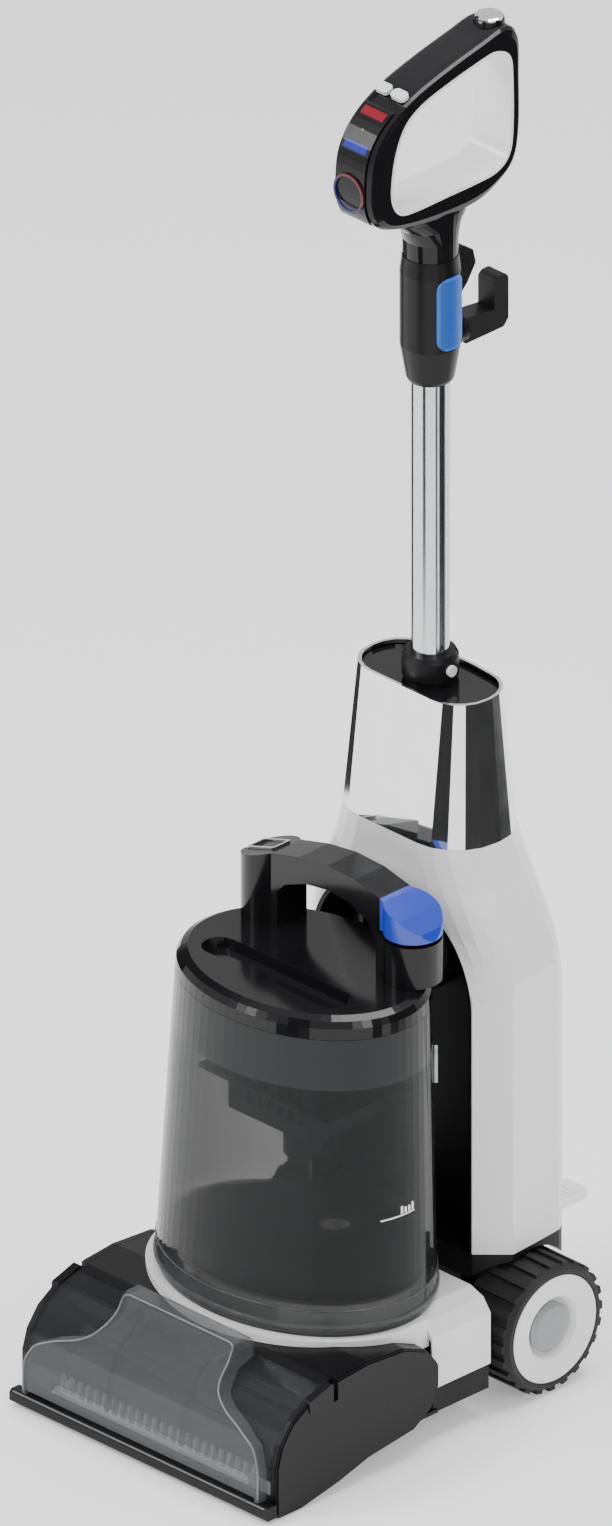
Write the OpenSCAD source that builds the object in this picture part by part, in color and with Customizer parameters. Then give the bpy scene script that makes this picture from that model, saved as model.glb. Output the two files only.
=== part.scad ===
// Upright carpet cleaner: floor head with brush, lift-out dirty-water tank, reclining body, mast and loop handle.
// Front faces -Y, right is +X, the floor is Z = 0 and the origin is the middle of the footprint.

/* [Overall] */
// Overall height, to the top of the handle cap
overall_h = 1112; // [1060:1:1180]
// Overall depth, from the front lip to the cord hook
overall_d = 400; // [392:1:420]
// Width over the nozzle cheeks
head_w = 278; // [270:1:300]

/* [Head] */
// Height of the nozzle above the floor
nozzle_h = 106; // [102:1:110]
// Thickness of each nozzle cheek
cheek_t = 7; // [5:0.5:9]
// Wall of moulded plastic parts
wall = 3; // [2.5:0.1:3.4]
// Radius of the brush over its bristles
brush_r = 29; // [26:0.5:30]
// Radius of the brush core
core_r = 15; // [13:0.5:17]
// Steps of bristle along the brush
tuft_rows = 9; // [7:1:11]
// Top of the white deck
deck_z = 104; // [102:1:105]

/* [Wheels] */
// Radius of a tyre
tyre_r = 54; // [52:0.5:55]
// Width of a tyre
tyre_w = 50; // [44:1:52]
// Radius of the white wheel disc
disc_r = 44; // [40:0.5:46]
// Number of tread lugs on a tyre
lugs = 24; // [18:1:30]

/* [Tank] */
// Half width of the tank at its foot
tank_a = 121; // [117:0.5:123]
// Half depth of the tank at its foot
tank_b = 96; // [93:0.5:97]
// Height of the tank rim above the floor
tank_top = 352; // [345:1:358]

/* [Body] */
// Half width of the body at its foot
body_a = 110; // [106:0.5:113]
// Height of the bottom edge of the white shell
shell_z = 114; // [112:0.5:118]
// Height of the seam under the chrome cover
seam_z = 449; // [440:1:458]
// Height of the top of the chrome cover
cover_z = 568; // [556:1:580]
// Half width of the arch opening
arch_a = 88; // [84:0.5:90]

/* [Mast and handle] */
// Radius of the mast tube
tube_r = 15; // [13:0.5:16]
// Radius of the collar
collar_r = 23.6; // [22:0.1:25]
// Width of the handle loop
loop_w = 40; // [36:1:44]

/* [Hidden] */
fit = 0.3;          // gap between neighbouring pieces
run = 0.05;         // radial clearance of a shaft in its bore
lip_y = -overall_d / 2;
cheek_x = head_w / 2;
inner_x = cheek_x - cheek_t - fit;
brush_y = lip_y + 61;
brush_z = brush_r;
motor_y = lip_y + 130;
motor_z = 60;
axle_y = lip_y + 311;
axle_r = 6;
mast_y = lip_y + 314;
tank_floor = deck_z + 24;
lid_z = tank_top + fit;
top_z = overall_h;

// Side outline of the nozzle, as distance behind the lip and height
function nozzle_pts() = [[12, 0], [12, 44], [17, 61], [29, 77], [48, 89], [76, 97], [110, nozzle_h - 6],
    [150, 97], [174, 87], [187, 70], [187, 52], [179, 35], [160, 23], [112, 17], [80, 8], [40, 0]];
// Points of a closed smooth curve through control points
function smooth(p, n) = [for (i = [0:len(p) - 1], k = [0:n - 1])
    let (m = len(p), a = p[(i + m - 1) % m], b = p[i], c = p[(i + 1) % m], d = p[(i + 2) % m], t = k / n)
    0.5 * (2 * b + (c - a) * t + (2 * a - 5 * b + 4 * c - d) * t * t + (3 * b - a - 3 * c + d) * t * t * t)];
// Triangles of a solid through equal rings, closed at both ends
module loft(rings) {
    n = len(rings[0]);
    m = len(rings);
    pts = [for (r = rings, p = r) p];
    sides = [for (i = [0:m - 2], j = [0:n - 1]) let (a = i * n + j, b = i * n + (j + 1) % n)
        each [[a, a + n, b], [b, a + n, b + n]]];
    ends = [[for (j = [0:n - 1]) j], [for (j = [n - 1:-1:0]) (m - 1) * n + j]];
    polyhedron(points = pts, faces = concat(sides, ends), convexity = 6);
}
// Wall that follows rings out along one side and back along the other, closed on itself
module loop_loft(rings) {
    n = len(rings[0]);
    m = len(rings);
    pts = [for (r = rings, p = r) p];
    polyhedron(points = pts, faces = [for (i = [0:m - 1], j = [0:n - 1])
        let (k = (i + 1) % m, a = i * n + j, b = i * n + (j + 1) % n, c = k * n + j, d = k * n + (j + 1) % n)
        each [[a, c, b], [b, c, d]]], convexity = 8);
}
// Extrudes an outline drawn as (distance behind the lip, height) from x0 to x1
module side_prism(x0, x1) {
    translate([x0, lip_y, 0]) rotate([90, 0, 90]) linear_extrude(x1 - x0) children();
}
// Extrudes an outline drawn as (x, height) between two distances behind the lip
module front_prism(y0, y1) {
    translate([0, lip_y + y1, 0]) rotate([90, 0, 0]) linear_extrude(y1 - y0) children();
}
// Cylinder along X centred on (distance behind the lip, height)
module x_rod(r, x0, x1, y, z) {
    translate([x0, y, z]) rotate([0, 90, 0]) cylinder(h = x1 - x0, r = r, $fn = 64);
}
// Cylinder along Y
module y_rod(r, y0, y1, x, z) {
    translate([x, y1, z]) rotate([90, 0, 0]) cylinder(h = y1 - y0, r = r, $fn = 64);
}
module rounded_outline(r) {
    offset(r = r, $fn = 24) offset(delta = -r) children();
}
module mirrored() {
    children();
    mirror([1, 0, 0]) children();
}
module nozzle_outline() {
    rounded_outline(5) polygon(nozzle_pts());
}

// ---- Floor head ----
latch_y0 = 46;
latch_len = 26;
latch_travel = 5;
latch_z = 80;

module side_panel() {
    step = 1.2;
    difference() {
        union() {
            side_prism(cheek_x - cheek_t, cheek_x - 2 * step) nozzle_outline();
            side_prism(cheek_x - 2 * step, cheek_x - step) offset(delta = -0.7) nozzle_outline();
            side_prism(cheek_x - step, cheek_x) offset(delta = -2) nozzle_outline();
        }
        x_rod(4 + run, cheek_x - cheek_t - 1, cheek_x - 2.5, brush_y, brush_z);
        translate([cheek_x - cheek_t - 1, lip_y + latch_y0, latch_z])
            cube([cheek_t + 2, latch_len + latch_travel + 2 * fit, 30]);
    }
}
module side_panel_left() {
    color("#232325") mirror([1, 0, 0]) side_panel();
}
module side_panel_right() {
    color("#232325") side_panel();
}
module latch() {
    difference() {
        translate([0, 0, latch_z + fit]) side_prism(cheek_x - cheek_t + 0.5, cheek_x + 1)
            rounded_outline(2) polygon([[latch_y0 + fit, 0], [latch_y0 + fit, 9],
                [latch_y0 + latch_len, 17], [latch_y0 + latch_len, 0]]);
        translate([cheek_x - 5, lip_y + latch_y0 + 8, latch_z + 18]) rotate([25, 0, 0])
            for (i = [0:2]) translate([0, i * 4, -3]) cube([10, 1.5, 2]);
    }
}
module latch_left() {
    color("#3a3b3f") mirror([1, 0, 0]) latch();
}
module latch_right() {
    color("#3a3b3f") latch();
}
window_back = 67;
module nozzle_top() {
    color("#1f1f22") difference() {
        side_prism(-inner_x, inner_x) difference() {
            nozzle_outline();
            offset(delta = -wall) nozzle_outline();
            translate([0, -1]) square([window_back, 200]);
            square([300, 40]);
        }
        translate([-26, lip_y + window_back + 6, 80]) cube([52, 22, 40]);
    }
}
duct_top = 111;
duct_back = 66;
module nozzle_window() {
    color([0.25, 0.26, 0.28, 0.5]) difference() {
        side_prism(-inner_x, inner_x) difference() {
            nozzle_outline();
            offset(delta = -2.5) nozzle_outline();
            translate([window_back - fit, -1]) square([200, 200]);
            square([300, 14]);
        }
        front_prism(0, 22) translate([-108, 16]) square([216, 12]);
    }
}
// Bell-shaped front view of the suction channel
function bell() = [[128, 14.3], [128, 42], [120, 57], [101, 66], [82, 72], [69, 79], [62, 88], [60, 98],
    [60, duct_top + 1]];
module bell_outline() {
    polygon(concat(bell(), [for (i = [len(bell()) - 1:-1:0]) [-bell()[i][0], bell()[i][1]]]));
}
module duct_profile() {
    polygon([[2.5, 14.3], [3, 44], [8, 64], [21, 83], [38, 97], [43, duct_top - 3], [47, duct_top],
        [61, duct_top], [65, duct_top - 4], [duct_back, 90], [40, 60], [24, 14.3]]);
}
module suction_duct() {
    difference() {
        color([0.35, 0.36, 0.38, 0.6]) difference() {
            intersection() {
                front_prism(0, 90) bell_outline();
                side_prism(-130, 130) difference() {
                    duct_profile();
                    offset(delta = fit) nozzle_outline();
                }
            }
            intersection() {
                front_prism(-1, 91) difference() {
                    offset(delta = -2.2) bell_outline();
                    for (x = [-1, 1]) translate([x * 40 - 0.8, 30]) square([1.6, 62]);
                }
                side_prism(-130, 130) translate([2.2, -1.6]) offset(delta = -1) duct_profile();
            }
            front_prism(0, 24) translate([-124, 10]) square([248, 8]);
        }
    }
}
module front_lip() {
    color("#17171a") difference() {
        union() {
            side_prism(-cheek_x, cheek_x) rounded_outline(1.5)
                polygon([[0, 5], [2, 3], [11.7, 3], [11.7, 14], [2, 14], [0, 11.5]]);
            side_prism(-inner_x, inner_x) polygon([[8, 3.5], [19, 3.5], [26, 6], [26, 9], [19, 13.7], [8, 13.7]]);
        }
        for (x = [-60:40:60]) translate([x - 12, lip_y + 4, 2]) cube([24, 5, 3]);
    }
}
module comb_strip() {
    teeth = 24;
    pitch = 9;
    color("#e9e9e6") {
        translate([-110, lip_y + 20, 14]) cube([220, 4, 5]);
        for (i = [0:teeth - 1]) translate([(i - (teeth - 1) / 2) * pitch - 1.5, lip_y + 20, 18])
            rotate([-8, 0, 0]) cube([3, 3, 13]);
    }
}
module spray_bar() {
    color("#55565a") {
        translate([-inner_x, lip_y + 56, 70]) cube([2 * inner_x, 9, 9]);
        for (x = [-90:60:90]) translate([x, lip_y + 60.5, 63]) cylinder(h = 8, r1 = 2.5, r2 = 4, $fn = 32);
    }
}
belt_x = -inner_x + 5;
belt_w = 7;
module brush_core() {
    color("#8a8c90") {
        x_rod(core_r, belt_x + belt_w + 3, inner_x - 1.5, brush_y, brush_z);
        x_rod(4, -cheek_x + 3, cheek_x - 3, brush_y, brush_z);
    }
}
tuft_turn = 0.15;
// Ring round the brush at one place along it: strips of bristle stand out from a thin sleeve, turned by the place
function tuft_ring(x) = [for (i = [0:5], p = [[-11, core_r + 3], [-9, brush_r - 0.4], [9, brush_r - 0.4],
    [11, core_r + 3], [30, core_r + 3]]) let (a = i * 60 + p[0] + x * tuft_turn)
        [x, brush_y + p[1] * cos(a), brush_z + p[1] * sin(a)]];
function sleeve_ring(x) = [for (i = [0:5], p = [-11, -9, 9, 11, 30]) let (a = i * 60 + p + x * tuft_turn)
    [x, brush_y + (core_r + 0.5) * cos(a), brush_z + (core_r + 0.5) * sin(a)]];
module brush_bristles() {
    end = inner_x - 18;
    n = tuft_rows;
    color("#f1f1ee") loop_loft(concat([for (i = [0:n]) tuft_ring(-end + 2 * end * i / n)],
        [for (i = [0:n]) sleeve_ring(end - 2 * end * i / n)]));
}
module pulley(r, x0, x1, y, z) {
    difference() {
        union() {
            x_rod(r, x0, x1, y, z);
            x_rod(r + 2.5, x0, x0 + 1, y, z);
            x_rod(r + 2.5, x1 - 1, x1, y, z);
        }
        children();
    }
}
brush_pulley_r = 12;
motor_pulley_r = 8;
module brush_pulley() {
    color("#c9c9c4") pulley(brush_pulley_r, belt_x - 1.6, belt_x + belt_w + 1.6, brush_y, brush_z)
        x_rod(4 + run, -200, 0, brush_y, brush_z);
}
module motor_pulley() {
    color("#c4c6c9") {
        pulley(motor_pulley_r, belt_x - 1.6, belt_x + belt_w + 1.6, motor_y, motor_z);
        x_rod(3, belt_x, -80, motor_y, motor_z);
    }
}
module drive_belt() {
    color("#141414") side_prism(belt_x, belt_x + belt_w) difference() {
        hull() {
            translate([brush_y - lip_y, brush_z]) circle(brush_pulley_r + fit + 1.8, $fn = 64);
            translate([motor_y - lip_y, motor_z]) circle(motor_pulley_r + fit + 1.8, $fn = 64);
        }
        hull() {
            translate([brush_y - lip_y, brush_z]) circle(brush_pulley_r + fit, $fn = 64);
            translate([motor_y - lip_y, motor_z]) circle(motor_pulley_r + fit, $fn = 64);
        }
    }
}
module brush_motor() {
    color("#6f7378") difference() {
        union() {
            x_rod(23, -104, -24, motor_y, motor_z);
            x_rod(10, -110, -18, motor_y, motor_z);
            translate([-96, motor_y - 20, 27 + fit]) cube([64, 40, 12]);
        }
        x_rod(3 + run, -111, -60, motor_y, motor_z);
    }
}
module pump() {
    color("#4b4e54") {
        translate([20, lip_y + 116, 27 + fit]) cube([54, 40, 30]);
        x_rod(12, 74, 96, lip_y + 136, 44);
        translate([46, lip_y + 150, 50]) cylinder(h = 22, r = 5, $fn = 32);
    }
}
arm_x0 = 62;
arm_x1 = 82;
tray_x = 130;
tray_back = 248;
module base_pan() {
    color("#1c1c1f") difference() {
        union() {
            translate([-inner_x, lip_y + 98, 24]) cube([2 * inner_x, 84, 3]);
            translate([18 - inner_x, lip_y + 98, 24]) cube([2 * inner_x - 18, 3, 16]);
            difference() {
                translate([-tray_x, lip_y + 188, 24]) cube([2 * tray_x, tray_back - 188, 20]);
                translate([-tray_x + wall, lip_y + 188 + wall, 27])
                    cube([2 * (tray_x - wall), tray_back - 188 - 2 * wall, 20]);
            }
            translate([-inner_x, lip_y + 180, 24]) cube([2 * inner_x, 12, 3]);
            mirrored() side_prism(arm_x0, arm_x1) union() {
                polygon([[236, 24], [236, 44], [250.3, 44], [250.3, 53], [270, 66], [306, 69], [306, 39], [280, 30]]);
                translate([axle_y - lip_y, axle_z()]) circle(15, $fn = 64);
            }
        }
        x_rod(axle_r + run, -100, 100, axle_y, axle_z());
    }
}
function axle_z() = tyre_r;
module deck_section() {
    polygon([[-tray_x, 44.3], [-tray_x, 88], [-122, 99], [-108, deck_z], [108, deck_z], [122, 99],
        [tray_x, 88], [tray_x, 44.3]]);
}
deck_back = 250;
module deck() {
    color("#f2f2f0") difference() {
        union() {
            difference() {
                front_prism(187.5, deck_back) deck_section();
                front_prism(180, deck_back - wall) translate([0, -wall]) offset(delta = -wall / 2)
                    deck_section();
            }
            intersection() {
                translate([0, lip_y + 171, 80]) resize_oval(tank_a + 7, tank_b + 6, 26);
                side_prism(-inner_x, inner_x) difference() {
                    translate([window_back + fit, 80]) square([150, 26]);
                    offset(delta = fit) nozzle_outline();
                }
                front_prism(40, 189) translate([-125, 0]) square([250, deck_z]);
            }
            translate([0, lip_y + tank_yc(tank_z), deck_z - 1])
                resize_oval(tank_a - wall - 6, tank_b - wall - 6, tank_floor - fit - deck_z + 1);
        }
        translate([0, lip_y + 212, 60]) cylinder(h = 80, r = 14, $fn = 48);
    }
}
module resize_oval(a, b, h) {
    scale([1, b / a, 1]) cylinder(h = h, r = a, $fn = 96);
}
module axle() {
    color("#b9bcc0") x_rod(axle_r, -cheek_x + 12, cheek_x - 12, axle_y, axle_z());
}
wheel_x = cheek_x - tyre_w - 1;
module wheel_ring(profile) {
    translate([wheel_x, axle_y, axle_z()]) rotate([0, 90, 0]) rotate_extrude($fn = 96) polygon(profile);
}
module tyre() {
    lug_h = 2.5;
    difference() {
        union() {
            wheel_ring([[disc_r + run, 0.5], [tyre_r - lug_h - 3, 0], [tyre_r - lug_h, 4],
                [tyre_r - lug_h, tyre_w - 4], [tyre_r - lug_h - 3, tyre_w], [disc_r + run, tyre_w - 0.5]]);
            for (i = [0:lugs - 1]) translate([wheel_x + 3, axle_y, axle_z()]) rotate([i * 360 / lugs, 0, 0])
                translate([0, -3.2, tyre_r - 6]) cube([tyre_w - 6, 6.4, 6]);
        }
    }
}
module wheel_disc() {
    rim = disc_r - run;
    wheel_ring([[axle_r + run, 0], [14, 0], [16, tyre_w - 22], [rim - 4, tyre_w - 22], [rim - 4, 1], [rim, 1],
        [rim, tyre_w], [rim - 4, tyre_w + 1], [26, tyre_w - 2], [22, tyre_w - 8], [axle_r + run, tyre_w - 12]]);
}
module hub_cap() {
    wheel_ring([[0, tyre_w - 8.2], [20, tyre_w - 8.2], [20.5, tyre_w - 5], [17, tyre_w - 2.5],
        [9, tyre_w - 1.2], [0, tyre_w - 1]]);
}
module tyre_left() {
    color("#141415") mirror([1, 0, 0]) tyre();
}
module tyre_right() {
    color("#141415") tyre();
}
module wheel_disc_left() {
    color("#f4f4f2") mirror([1, 0, 0]) wheel_disc();
}
module wheel_disc_right() {
    color("#f4f4f2") wheel_disc();
}
module hub_cap_left() {
    color("#77797c") mirror([1, 0, 0]) hub_cap();
}
module hub_cap_right() {
    color("#77797c") hub_cap();
}

// ---- Dirty-water tank ----
tank_z = deck_z + fit;
function tank_k(z) = (z - tank_z) / (tank_top - tank_z);
function tank_ra(z) = tank_a - 10 * tank_k(z);
function tank_rb(z) = tank_b - 2 - 10 * tank_k(z);
function tank_yc(z) = 170 + 8 * tank_k(z);
function oval(a, b, yc, z, n) = [for (i = [0:n - 1]) [a * cos(360 * i / n), lip_y + yc + b * sin(360 * i / n), z]];
function tank_ring(z, inset) = oval(tank_ra(z) - inset, tank_rb(z) - inset, tank_yc(z), z, 72);
skirt_z = tank_top - 42;
function skirt_ring(z, inset) = oval(tank_ra(tank_top) - inset, tank_rb(tank_top) - inset,
    tank_yc(tank_top), z, 72);
plate_z = lid_z + 4;
lid_top = lid_z + 17;
post_x = 77;
post_y = 219;

module tank_shell() {
    color([0.3, 0.32, 0.34, 0.45]) difference() {
        loft([tank_ring(tank_floor, wall + 2), tank_ring(tank_z, wall + 2), tank_ring(tank_z, 1.5),
            tank_ring(tank_z + 4, 0), tank_ring(tank_top, 0), tank_ring(tank_top, wall),
            tank_ring(tank_floor + wall + 8, wall), tank_ring(tank_floor + wall, wall + 4)]);
        translate([0, lip_y + 212, 100]) cylinder(h = 60, r = 12, $fn = 48);
    }
}
module tank_lid() {
    color("#17181a") difference() {
        loft([skirt_ring(plate_z, wall + 3), skirt_ring(skirt_z, wall + 3), skirt_ring(skirt_z, wall + 0.4),
            skirt_ring(lid_z, wall + 0.4), tank_ring(lid_z, 0), tank_ring(lid_z + 9, 0.5),
            tank_ring(lid_z + 14, 3.5), tank_ring(lid_top, 9)]);
        hull() for (x = [-1, 1]) translate([x * 62, lip_y + 150, lid_top - 8]) cylinder(h = 20, r1 = 12, r2 = 18, $fn = 32);
    }
}
box_y0 = 142;
box_y1 = 216;
module filter_box() {
    color("#26282b") {
        difference() {
            translate([-45, lip_y + box_y0, 240]) cube([90, box_y1 - box_y0, plate_z - fit - 240]);
            translate([-42.5, lip_y + box_y0 + 2.5, 242.5]) cube([85, box_y1 - box_y0 - 5, 200]);
            for (i = [-3:3]) translate([i * 11 - 2, lip_y + box_y0 - 1, 252]) cube([4, 100, 40]);
        }
        difference() {
            translate([-70, lip_y + box_y0 - 8, 268]) cube([140, box_y1 - box_y0 + 16, 3]);
            translate([-44, lip_y + box_y0 + 1, 260]) cube([88, box_y1 - box_y0 - 2, 20]);
        }
        translate([0, lip_y + 180, 202]) cylinder(h = 40, r = 3, $fn = 32);
        translate([0, lip_y + 180, 202]) cylinder(h = 3, r = 7, $fn = 32);
    }
}
float_rise = 10;
module float_cup() {
    color("#d9a441") translate([0, lip_y + 180, 205 + fit]) difference() {
        cylinder(h = 24, r = 17, $fn = 48);
        translate([0, 0, -1]) cylinder(h = 30, r = 3 + run, $fn = 32);
    }
}
button_z = 408;
module handle_side() {
    polygon([[-101, lid_top + fit], [-101, 412], [-97, 418], [-60, 430], [-30, 438], [0, 442], [30, 441],
        [62, 434], [84, 426], [97, 416], [101, 406], [101, lid_top + fit], [53, lid_top + fit], [53, 398],
        [44, 411], [24, 419], [0, 421], [-24, 417], [-46, 408], [-54, 399], [-54, lid_top + fit]]);
}
module handle_plan(inset) {
    for (x = [-1, 1]) translate([x * post_x, lip_y + post_y]) circle(23 - inset, $fn = 64);
    translate([-post_x, lip_y + post_y - 16 + inset]) square([2 * post_x, 32 - 2 * inset]);
}
module handle_form(inset) {
    intersection() {
        front_prism(post_y - 30, post_y + 30) offset(delta = -inset) handle_side();
        translate([0, 0, 300]) linear_extrude(200) handle_plan(inset);
    }
}
module tank_handle() {
    color("#1b1b1d") {
        difference() {
            handle_form(0);
            translate([57, lip_y + 150, button_z - 3.3]) cube([60, 140, 60]);
        }
        intersection() {
            handle_form(7);
            translate([50, lip_y + 150, button_z - 10]) cube([60, 140, 25.5]);
        }
    }
}
module release_button() {
    color("#2f50b8") difference() {
        intersection() {
            handle_form(0);
            translate([57 + fit, lip_y + 150, button_z]) cube([60, 140, 60]);
        }
        intersection() {
            handle_form(2.8);
            translate([40, lip_y + 150, button_z - 10]) cube([80, 140, 29]);
        }
        translate([50, lip_y + post_y - 13.2, button_z - 1]) cube([20, 26.4, 20]);
    }
}
module handle_trim() {
    color("#c5c8cc") translate([-79, lip_y + post_y, 0]) intersection() {
        translate([0, 0, 400]) linear_extrude(60) difference() {
            rounded_outline(3) square([30, 20], center = true);
            rounded_outline(2) square([25, 15], center = true);
        }
        translate([79, -lip_y - post_y, 0]) front_prism(post_y - 30, post_y + 30)
            difference() {
                translate([0, 2]) handle_side();
                translate([0, fit]) handle_side();
                translate([-54, 300]) square([200, 200]);
            }
    }
}
module tank_clip() {
    clip_a = 38;
    clip_z = tank_top - 72;
    color([0.7, 0.73, 0.75, 0.6]) translate([tank_ra(clip_z) * cos(clip_a), lip_y + tank_yc(clip_z) +
        tank_rb(clip_z) * sin(clip_a), clip_z]) rotate([0, 0, 46]) translate([fit, -6, 0]) difference() {
        rotate([90, 0, 90]) linear_extrude(2.5) rounded_outline(5) square([12, 30]);
        rotate([90, 0, 90]) linear_extrude(9, center = true) translate([3, 3]) rounded_outline(2) square([6, 20]);
    }
}

// ---- Reclining body ----
body_heights = [shell_z, 200, 330, 345, 358, 370, 385, 400, 415, 430, seam_z];
function body_w(z) = lookup(z, [[shell_z, body_a], [330, body_a], [345, body_a - 1], [358, body_a - 3],
    [370, body_a - 7], [385, 97], [400, 91], [415, 85], [430, 79.5], [seam_z, 74.5], [cover_z, 64]]);
function body_f(z) = lookup(z, [[370, 272], [seam_z, 268], [cover_z, 282]]);
function body_r(z) = lookup(z, [[370, 362], [seam_z, 359], [cover_z, 346]]);
function body_c(z) = lookup(z, [[330, 22], [385, 36], [415, 43], [seam_z, 43], [cover_z, 29]]);
function body_d(z) = lookup(z, [[330, 20], [385, 30], [seam_z, 43], [cover_z, 29]]);
function body_k(z) = lookup(z, [[330, 0], [358, 0.35], [385, 0.9], [400, 1]]);
// Right half of a body section: front face, front corner (flat or round), side, rear corner, back
function half_ring(w, f, r, c, d, k) = [
    [(w - c) * 0.5, f],
    for (j = [0:5]) let (a = 15 * j + j * 3, s = j / 5)
        [w - c + c * (s + (sin(a) - s) * k), f + c * (s + (1 - cos(a) - s) * k)],
    [w * (1 - 0.015 * (1 - k)), (f + c + r - d) / 2],
    for (j = [0:5]) [(w - d) - 4 * (1 - k) + d * cos(18 * j), r - d + d * sin(18 * j)],
    [(w - d) * 0.45, r + 1.5]];
function full_ring(h) = concat(h, [for (i = [len(h) - 1:-1:0]) [-h[i][0], h[i][1]]]);
function section(z, inset) = full_ring(half_ring(body_w(z) - inset, body_f(z) + inset, body_r(z) - inset,
    body_c(z) - inset * 0.4, body_d(z) - inset * 0.6, body_k(z)));
function body_ring(z, at, inset) = [for (p = section(z, inset)) [p[0], p[1] + lip_y, at]];
function wall_rings(heights, t) = concat([for (z = heights) body_ring(z, z, 0)],
    [for (i = [len(heights) - 1:-1:0]) body_ring(heights[i], heights[i], t)]);
arch_z = 318;
clean_a = 58;
clean_z0 = 216;
clean_z1 = 322;
pedal_x0 = 56;
pedal_x1 = 88;
pedal_y = 343;
pedal_z = 120;

module arch_outline() {
    translate([-arch_a + 1, shell_z - 5]) square([2 * arch_a - 2, arch_z - shell_z + 5]);
    translate([0, arch_z]) circle(arch_a - 1, $fn = 96);
}
module body_shell() {
    color("#f3f3f1") difference() {
        loop_loft(wall_rings(body_heights, wall));
        front_prism(255, 285) arch_outline();
        front_prism(330, 375) translate([-clean_a - 0.7, clean_z0 - fit])
            square([2 * clean_a + 1.4, clean_z1 - clean_z0 + 2 * fit]);
        front_prism(335, 375) translate([pedal_x0 - 1, shell_z - 5]) square([pedal_x1 - pedal_x0 + 2, 20]);
        y_rod(8 + fit, lip_y + 350, lip_y + 375, -76, 136);
    }
}
module arch_lining() {
    color("#151517") {
        difference() {
            intersection() {
                front_prism(272.8, 304) offset(delta = -fit) arch_outline();
                translate([-200, -300, shell_z]) cube([400, 600, 400]);
            }
            front_prism(270, 301) offset(delta = -fit - wall) arch_outline();
            for (i = [0:7]) front_prism(295, 306) translate([-40, 330 + i * 6]) square([80, 2.5]);
        }
        front_prism(285, 301.5) difference() {
            translate([0, 352]) circle(48, $fn = 64);
            translate([0, 352]) circle(44, $fn = 64);
        }
    }
}
module body_foot() {
    well_r = tyre_r + 3;
    color("#1a1a1d") difference() {
        union() {
            difference() {
                translate([0, lip_y, 92]) linear_extrude(shell_z - fit - 92) polygon(section(shell_z, 0));
                mirrored() x_rod(well_r, arm_x1 + 2, 140, axle_y, axle_z());
                translate([pedal_x0 - 1, lip_y + 334, 105]) cube([pedal_x1 - pedal_x0 + 2, 50, 30]);
            }
            side_prism(-arm_x0 + 1.5, arm_x0 - 1.5) union() {
                polygon([[292, 54], [284, 93], [338, 93], [330, 54]]);
                translate([axle_y - lip_y, axle_z()]) circle(19, $fn = 64);
            }
            for (x = [pedal_x0 - 6.5, pedal_x1 + 0.5]) side_prism(x, x + 5) difference() {
                polygon([[334, 104], [334, 120], [338, 126], [348, 126], [352, 120], [352, 104]]);
                translate([pedal_y, pedal_z]) circle(2.5 + run, $fn = 32);
            }
        }
        x_rod(axle_r + run, -100, 100, axle_y, axle_z());
    }
}
module suction_motor() {
    color("#5b5f66") translate([0, lip_y + 331, shell_z]) difference() {
        union() {
            cylinder(h = 58, r = 21, $fn = 64);
            cylinder(h = 10, r = 23, $fn = 64);
            translate([0, 0, 50]) cylinder(h = 14, r = 9, $fn = 48);
        }
        translate([0, 0, 20]) cylinder(h = 60, r = 3 + run, $fn = 32);
    }
}
fan_z = shell_z + 66;
module fan_wheel() {
    color("#d5d7d9") translate([0, lip_y + 331, fan_z]) {
        cylinder(h = 1.5, r = 20, $fn = 64);
        cylinder(h = 14, r = 6, $fn = 48);
        translate([0, 0, -26]) cylinder(h = 30, r = 3, $fn = 32);
        for (a = [0:30:330]) rotate([0, 0, a]) translate([5, -0.8, 0]) rotate([0, 0, 14]) cube([14, 1.6, 12]);
    }
}
module air_duct() {
    color("#2b2c2f") difference() {
        union() {
            translate([0, lip_y + 331, fan_z + 16]) cylinder(h = 8, r = 23, $fn = 64);
            translate([-84, lip_y + 320, fan_z + 16]) cube([84, 22, 8]);
            translate([-96, lip_y + 304 + fit, fan_z + 16]) cube([32, 34, 150]);
        }
        translate([-93, lip_y + 307, fan_z + 20]) cube([26, 28, 190]);
        translate([0, lip_y + 331, fan_z + 10]) cylinder(h = 8, r = 8, $fn = 48);
    }
}
module clean_plan(inset) {
    intersection() {
        translate([0, lip_y]) rounded_outline(16) translate([-clean_a + inset, 308 + inset])
            square([2 * clean_a - 2 * inset, 76 - 2 * inset]);
    }
}
cap_z = 296;
module clean_tank() {
    color([0.55, 0.6, 0.66, 0.5]) difference() {
        translate([0, 0, clean_z0]) linear_extrude(clean_z1 - clean_z0) clean_plan(0);
        translate([0, 0, clean_z0 + wall]) linear_extrude(clean_z1 - clean_z0 - 2 * wall) clean_plan(wall);
        y_rod(10 + run, lip_y + 370, lip_y + 390, 0, cap_z);
    }
}
module clean_tank_cap() {
    color("#2b4fae") {
        y_rod(10, lip_y + 379, lip_y + 385, 0, cap_z);
        difference() {
            y_rod(16, lip_y + 384 + fit, lip_y + 391, 0, cap_z);
            for (a = [0:45:315]) translate([0, lip_y + 392, cap_z]) rotate([0, a, 0])
                translate([16, 0, 0]) rotate([90, 0, 0]) cylinder(h = 6, r = 2, $fn = 24);
        }
    }
}
module pedal() {
    color("#e6e8ea") difference() {
        union() {
            translate([0, lip_y, pedal_z - 3]) linear_extrude(5) rounded_outline(9)
                translate([pedal_x0, pedal_y]) square([pedal_x1 - pedal_x0, overall_d - pedal_y]);
            x_rod(4.5, pedal_x0, pedal_x1, lip_y + pedal_y, pedal_z);
            translate([pedal_x0, lip_y + pedal_y, pedal_z - 3]) cube([pedal_x1 - pedal_x0, 20, 5]);
        }
        x_rod(2.5 + run, pedal_x0 - 1, pedal_x1 + 1, lip_y + pedal_y, pedal_z);
        for (i = [0:3]) translate([pedal_x0 + 6, lip_y + 372 + i * 5, pedal_z + 1]) cube([22, 2, 3]);
    }
}
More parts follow.
